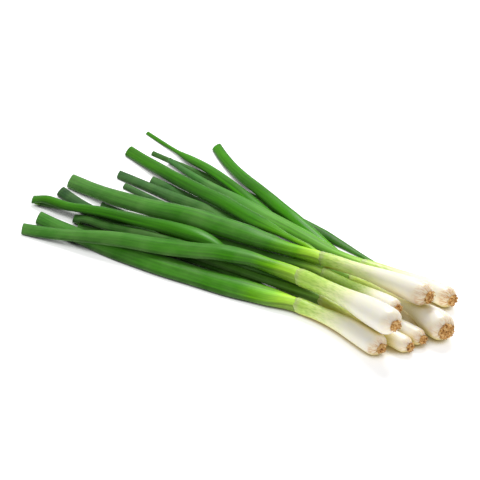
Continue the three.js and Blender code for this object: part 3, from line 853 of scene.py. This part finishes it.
def lip_slant(high_side, step_side):
    """How far each corner of the lip lies behind its furthest one."""
    lean = LIP_SLANT * 0.5 * (1 - np.cos(BULB_ANGLES - high_side))
    tear = 2 + np.sin(3 * BULB_ANGLES + step_side) + np.sin(7 * BULB_ANGLES + high_side)
    return lean + LIP_TEAR * tear


def lip_loops(node, end, side, way, slant):
    loops = []
    for inset, depth in LIP_LOOPS:
        girth = mouth_radius(node) - inset * LIP_WALL
        loop = loop_points(end, side, girth, girth, BULB_ANGLES)
        loops.append(loop - slant[:, None] * way * (1 - depth / LIP_FLOOR) - depth * MM * way)
    return loops


print("slant of a lip in mm:", LIP_SLANT / MM)

# %% [markdown]
# ## The bulbs
# No two shanks turn green at the same height, and those deep in the bunch get painted shade, darker towards
# their mouths. Both are matched plant by plant: the first stretches run, the second darkens the corner's
# lightness.

# %% Make the bulbs
# painted shade at the mouths of shanks deep in the bunch
BULB_MOUTH_SHADES = {"onion_6_bulb": 0.6, "onion_2_bulb": 0.8, "onion_3_bulb": 0.85}  # lightness at the mouth
BULB_GREENS = {"onion_7_bulb": 1.22, "onion_6_bulb": 1.8, "onion_2_bulb": 1.15, "onion_1_bulb": 1.08}
DIM_RATE, DIM_START = 1.6, 0.5


def make_bulb(node, number):
    draw = np.random.default_rng(SEED + 50 + number)
    run, spine = spine_of(node, BULB_STEP)
    aside = asides_of(spine)
    length = run[-1]
    high_side = draw.uniform(0.2, 0.8) * np.pi
    step_side = draw.uniform(0, 2 * np.pi)
    step_at = length - draw.uniform(14, 24) * MM
    slant = lip_slant(high_side, step_side)
    forward = np.stack([aside[:, 1], -aside[:, 0], np.gradient(spine[:, 2], run)], axis=1)
    loops = []
    for s, section, side, way in zip(run, spine, aside, forward):
        radius = 0.5 * (section[3] + section[4]) * SKIN_SHARE
        girth = bulb_girth(node, s, length, radius, step_at, step_side)
        back = slant * smooth((s - length + SLANT_REACH) / SLANT_REACH)
        loops.append(loop_points(section, side, girth, girth, BULB_ANGLES) - back[:, None] * way)
    loops += lip_loops(node, spine[-1], aside[-1], forward[-1], slant)
    inside = np.ones(len(LIP_LOOPS))
    runs = np.append(run / length, inside) * BULB_GREENS.get(node, 1.0)
    cuts = np.append(smooth((run - length + LIP_PALE) / LIP_PALE), inside) * LIP_CUT
    # painted shade, growing towards the mouth
    dim = 1 - (1 - BULB_MOUTH_SHADES.get(node, 1.0)) * smooth(runs * DIM_RATE - DIM_START)
    made = skin_object(node + "_skin", loops, runs, cuts, np.tile(dim[:, None], len(BULB_ANGLES)))
    made.data.materials.append(white_shank)
    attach(made, "root")
    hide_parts(node)
    return made


bulbs = [make_bulb(node, number) for number, node in enumerate(bulb_nodes)]
print("bulbs:", len(bulbs), "faces:", sum(len(o.data.polygons) for o in bulbs))

# %% [markdown]
# ## Root stubs
# The roots are cut back to a brush of short round stubs. A loop could place them, but this is what Geometry
# Nodes are for: the tree scatters points over a plate, sets a small tapered cylinder on each with a random
# lean and length, and makes all of it real.

# %% The stub tree
STUB_SOCKETS = {"Geometry": "Geometry", "Density": "Float", "Length": "Float", "Radius": "Float",
                "Seed": "Int", "Material": "Material"}
STUB_GAP = 1.7  # least distance between stubs, in radii
STUB_SHAPE = {"Vertices": 7, "Side Segments": 3, "Radius Top": 0.7, "Radius Bottom": 1.0, "Depth": 1.0}
STUB_SINK = 0.25  # share of its length by which a stub is sunk into the plate
STUB_LEAN = 0.4  # in radians
SHORTEST = 0.45  # shortest stub against the longest


def stub_points(tree, given):
    """Stubs sunk and leaning on points of the plate, each with its own length."""
    dense = add(tree, "ShaderNodeMath", {0: given["Density"], 1: 1 / MM**2}, operation="MULTIPLY")
    near = add(tree, "ShaderNodeMath", {0: given["Radius"], 1: STUB_GAP}, operation="MULTIPLY")
    points = add(tree, "GeometryNodeDistributePointsOnFaces", {
        "Mesh": given["Geometry"], "Distance Min": near, "Density Max": dense,
        "Seed": given["Seed"]}, distribute_method="POISSON")
    stub = add(tree, "GeometryNodeMeshCone", STUB_SHAPE)
    sunk = add(tree, "GeometryNodeTransform", {"Geometry": stub, "Translation": (0, 0, -STUB_SINK)})
    lean = add(tree, "FunctionNodeRandomValue", {
        "Min": (-STUB_LEAN, -STUB_LEAN, 0.0), "Max": (STUB_LEAN, STUB_LEAN, 6.28),
        "Seed": given["Seed"]}, data_type="FLOAT_VECTOR")
    turned = add(tree, "FunctionNodeRotateRotation", {
        "Rotation": points.outputs["Rotation"], "Rotate By": lean}, rotation_space="LOCAL")
    tall = add(tree, "FunctionNodeRandomValue", {"Min": SHORTEST, "Max": 1.0, "Seed": given["Seed"]})
    long = add(tree, "ShaderNodeMath", {0: tall.outputs[1], 1: given["Length"]}, operation="MULTIPLY")
    size = add(tree, "ShaderNodeCombineXYZ", {"X": given["Radius"], "Y": given["Radius"], "Z": long})
    placed = add(tree, "GeometryNodeInstanceOnPoints", {
        "Points": points, "Instance": sunk, "Rotation": turned, "Scale": size})
    return placed


def stub_tree():
    tree = bpy.data.node_groups.new("root_stubs", "GeometryNodeTree")
    for name, kind in STUB_SOCKETS.items():
        tree.interface.new_socket(name, in_out="INPUT", socket_type="NodeSocket" + kind)
    tree.interface.new_socket("Geometry", in_out="OUTPUT", socket_type="NodeSocketGeometry")
    given = tree.nodes.new("NodeGroupInput").outputs
    real = add(tree, "GeometryNodeRealizeInstances", {"Geometry": stub_points(tree, given)})
    joined = add(tree, "GeometryNodeJoinGeometry", {"Geometry": real})
    plug(tree, joined, {"Geometry": given["Geometry"]})
    painted = add(tree, "GeometryNodeSetMaterial", {"Geometry": joined, "Material": given["Material"]})
    add(tree, "NodeGroupOutput", {"Geometry": painted})
    return tree


stubs = stub_tree()
print("nodes in the stub tree:", len(stubs.nodes))


# %% Run a tree
def apply_tree(made, tree, inputs):
    """Runs a node tree on an object with its inputs set, and keeps the result as the object's own mesh."""
    modifier = made.modifiers.new("scatter", "NODES")
    modifier.node_group = tree
    for item in tree.interface.items_tree:
        if item.in_out == "INPUT" and item.name in inputs:
            modifier[item.identifier] = inputs[item.name]
    made.update_tag()
    bpy.context.view_layer.update()
    result = bpy.data.meshes.new_from_object(made.evaluated_get(bpy.context.evaluated_depsgraph_get()))
    made.modifiers.remove(modifier)
    made.data = result


print("inputs of the tree:", len(STUB_SOCKETS))

# %% [markdown]
# ## Root plates
# The plate itself is a low dome of dry tissue with a ragged rim. A flattened sphere would be too clean, so a
# short profile is turned round the bulb's end, with a few seeded waves in its outline and its height.

# %% A dome on the end of a bulb
DOME_SIDES = 40
PLATE_DOME = 1.7 * MM  # height
# breadth and height of each loop, as shares of the plate's
DOME_PROFILE = ((0.9, -0.6), (1.0, 0.1), (0.98, 0.35), (0.86, 0.62), (0.68, 0.82), (0.45, 0.95), (0.2, 1.0))
RIM_WAVES = (0.05, 0.04)  # five and nine waves round the outline, as shares of the breadth
TOP_WAVE = 0.12  # four waves round the dome, as a share of the height
FLAT_BELOW = 0.3  # loops under this share of the height aren't waved in height


def dome_object(name, centre, outward, radius, seed):
    draw = np.random.default_rng(seed)
    angles = np.arange(DOME_SIDES) / DOME_SIDES * 2 * np.pi
    aside = np.array([-outward[1], outward[0], 0.0])
    up = np.array([0.0, 0.0, 1.0])
    spokes = np.cos(angles)[:, None] * aside + np.sin(angles)[:, None] * up
    phase = draw.uniform(0, 2 * np.pi, 4)
    rough = 1 + RIM_WAVES[0] * np.sin(5 * angles + phase[0]) + RIM_WAVES[1] * np.sin(9 * angles + phase[1])
    loops = []
    for share, height in DOME_PROFILE:
        wave = TOP_WAVE * np.sin(4 * angles + phase[2]) * (height > FLAT_BELOW)
        rise = height * PLATE_DOME * (1 + wave)
        loops.append(centre + (radius * share * rough)[:, None] * spokes + rise[:, None] * outward)
    plain = np.zeros(len(loops))
    return skin_object(name, loops, plain, plain, np.ones((len(loops), DOME_SIDES)))


print("loops on a root plate:", len(DOME_PROFILE))

# %% Make the roots
STUB_INPUTS = {"Density": 0.9, "Length": 1.3 * MM, "Radius": 0.33 * MM}  # density is in stubs per square mm
PLATE_SHARE = 0.9  # breadth of a plate against the end of its bulb
PLATE_LEAD = 0.2 * MM  # how far it stands out of the bulb


def make_roots(node, number):
    end, inner = sections[node.replace("_roots", "_bulb")][:2]
    outward = np.array([*(end - inner)[:2], 0.0])
    outward /= np.linalg.norm(outward)
    centre = end[:3] + PLATE_LEAD * outward
    made = dome_object(node + "_stubs", centre, outward, PLATE_SHARE * end[3], SEED + 90 + number)
    apply_tree(made, stubs, {**STUB_INPUTS, "Seed": SEED + number, "Material": brown_roots})
    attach(made, "root")
    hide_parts(node)
    return made


root_nodes = sorted(n for n in frame["nodes"] if n.endswith("_roots"))
roots = [make_roots(node, number) for number, node in enumerate(root_nodes)]
print("root plates:", len(roots), "faces:", sum(len(o.data.polygons) for o in roots))

# %% [markdown]
# ## Table
# The bunch lies on a plain white sweep that is lit through, so its shadows are faint. A plain white floor
# alone would show grey round the bunch and bright in its gaps, where the light is really green among leaves
# and warm among bulbs. So the table glows with painted light that hides its shadows, except in narrow gaps,
# which get painted shade in that tint.

# %% Table
GAP_REACH = 40 * MM
TABLE_GLOW = 0.6
# painted shade in the table's narrow gaps: dark green among leaves, warm among bulbs
LEAF_GAP_SHADE_COLOUR, BULB_GAP_SHADE_COLOUR, TABLE_COLOUR = "#1d3a08", "#d6c48e", "#d8d8d8"
BULB_END_FROM, BULB_END_TO = 50 * MM, 100 * MM  # along x, where the tint goes from the leaves' to the bulbs'
TABLE_FINISH = {"Roughness": 0.9, "Specular IOR Level": 0.0, "Emission Color": (1.0, 1.0, 1.0, 1.0)}


def table_material():
    made, tree, shader = new_material("white_table_with_painted_light_and_shade", TABLE_FINISH)
    gap = add(tree, "ShaderNodeAmbientOcclusion", {"Distance": GAP_REACH}, samples=8)
    # painted light: the table glows where it is open, which hides its shadows; narrow gaps take the shade
    # colour
    lit = add(tree, "ShaderNodeMapRange", {
        "Value": gap.outputs["AO"], "From Min": 0.2, "From Max": 0.5, "To Min": 0.0, "To Max": TABLE_GLOW})
    shade = add(tree, "ShaderNodeMapRange", {"Value": gap.outputs["AO"], "From Min": 0.18, "From Max": 0.44})
    place = add(tree, "ShaderNodeTexCoord")
    parts = add(tree, "ShaderNodeSeparateXYZ", {"Vector": place.outputs["Object"]})
    bulb_end = add(tree, "ShaderNodeMapRange", {
        "Value": parts.outputs["X"], "From Min": BULB_END_FROM, "From Max": BULB_END_TO})
    tint = add(tree, "ShaderNodeMixRGB", {
        "Fac": bulb_end, "Color1": linear(LEAF_GAP_SHADE_COLOUR), "Color2": linear(BULB_GAP_SHADE_COLOUR)})
    pale = add(tree, "ShaderNodeMixRGB", {"Fac": shade, "Color1": tint, "Color2": linear(TABLE_COLOUR)})
    plug(tree, shader, {"Base Color": pale, "Emission Strength": lit})
    return made


bpy.ops.mesh.primitive_plane_add(size=6)
table = bpy.context.object
table.name = "table"
# matt white card that glows with painted light, with painted shade in its narrow gaps: no gloss and no
# grain, so that nothing draws the eye from the bunch
table.data.materials.append(table_material())
table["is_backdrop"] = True
print("table in metres:", [round(x, 1) for x in table.dimensions])

# %% [markdown]
# ## Light
# A bare sun would draw hard shadows between the leaves. A broad disc behind gives the wet shine along each
# shank, a weak one in front opens the near sides, and a white surround fills the rest.

# %% Lights
LAMP_SIZE = 0.6
SURROUND = 0.38


def area_light(name, place, power):
    """A disc that shines at the middle of the bunch, with its power in watts."""
    lamp = bpy.data.lights.new(name, "AREA")
    lamp.shape = "DISK"
    lamp.size = LAMP_SIZE
    lamp.energy = power
    made = bpy.data.objects.new(name, lamp)
    made.location = place
    made.rotation_euler = (-Vector(place)).to_track_quat("-Z", "Y").to_euler()
    bpy.context.collection.objects.link(made)
    return made


above = area_light("softbox_above", (-0.25, 0.6, 1.0), 14.0)
front = area_light("softbox_front", (0.6, -0.9, 0.9), 2.2)
world = bpy.data.worlds.new("white_studio")
world.use_nodes = True
world.node_tree.nodes["Background"].inputs["Color"].default_value = (1, 1, 1, 1)
world.node_tree.nodes["Background"].inputs["Strength"].default_value = SURROUND
bpy.context.scene.world = world
bpy.context.scene.view_settings.view_transform = "Standard"
print("lamps:", above.name, front.name)

# %% [markdown]
# ## Camera
# The photograph looks down on the bunch from its near right, from far enough that near and far bulbs are
# alike in size. So a long lens stands well back, placed by two angles and a distance, which are easier to
# match to a photograph than three coordinates.

# %% Camera
AZIMUTH = math.radians(40)
ELEVATION = math.radians(30)
DISTANCE = 0.8
LENS, SENSOR = 85, 36  # in millimetres, as on a camera
TARGET = (-0.00338, -0.00525, 0.0)

level = math.cos(ELEVATION)
away = Vector((math.sin(AZIMUTH) * level, -math.cos(AZIMUTH) * level, math.sin(ELEVATION)))
lens = bpy.data.cameras.new("photo_camera")
lens.lens = LENS
lens.sensor_width = SENSOR
camera = bpy.data.objects.new("photo_camera", lens)
camera.location = Vector(TARGET) + DISTANCE * away
camera.rotation_euler = (-away).to_track_quat("-Z", "Y").to_euler()
bpy.context.collection.objects.link(camera)
bpy.context.scene.camera = camera
print("camera at:", [round(x, 3) for x in camera.location])

# %% Sizes and finish
shown_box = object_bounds()
sizes = {"cad": [list(corner) for corner in CAD_BOX], "visual": [list(corner) for corner in shown_box]}
for name, (low, high) in sizes.items():
    print(name, "box in mm:", [round(x / MM, 2) for x in low], [round(x / MM, 2) for x in high])
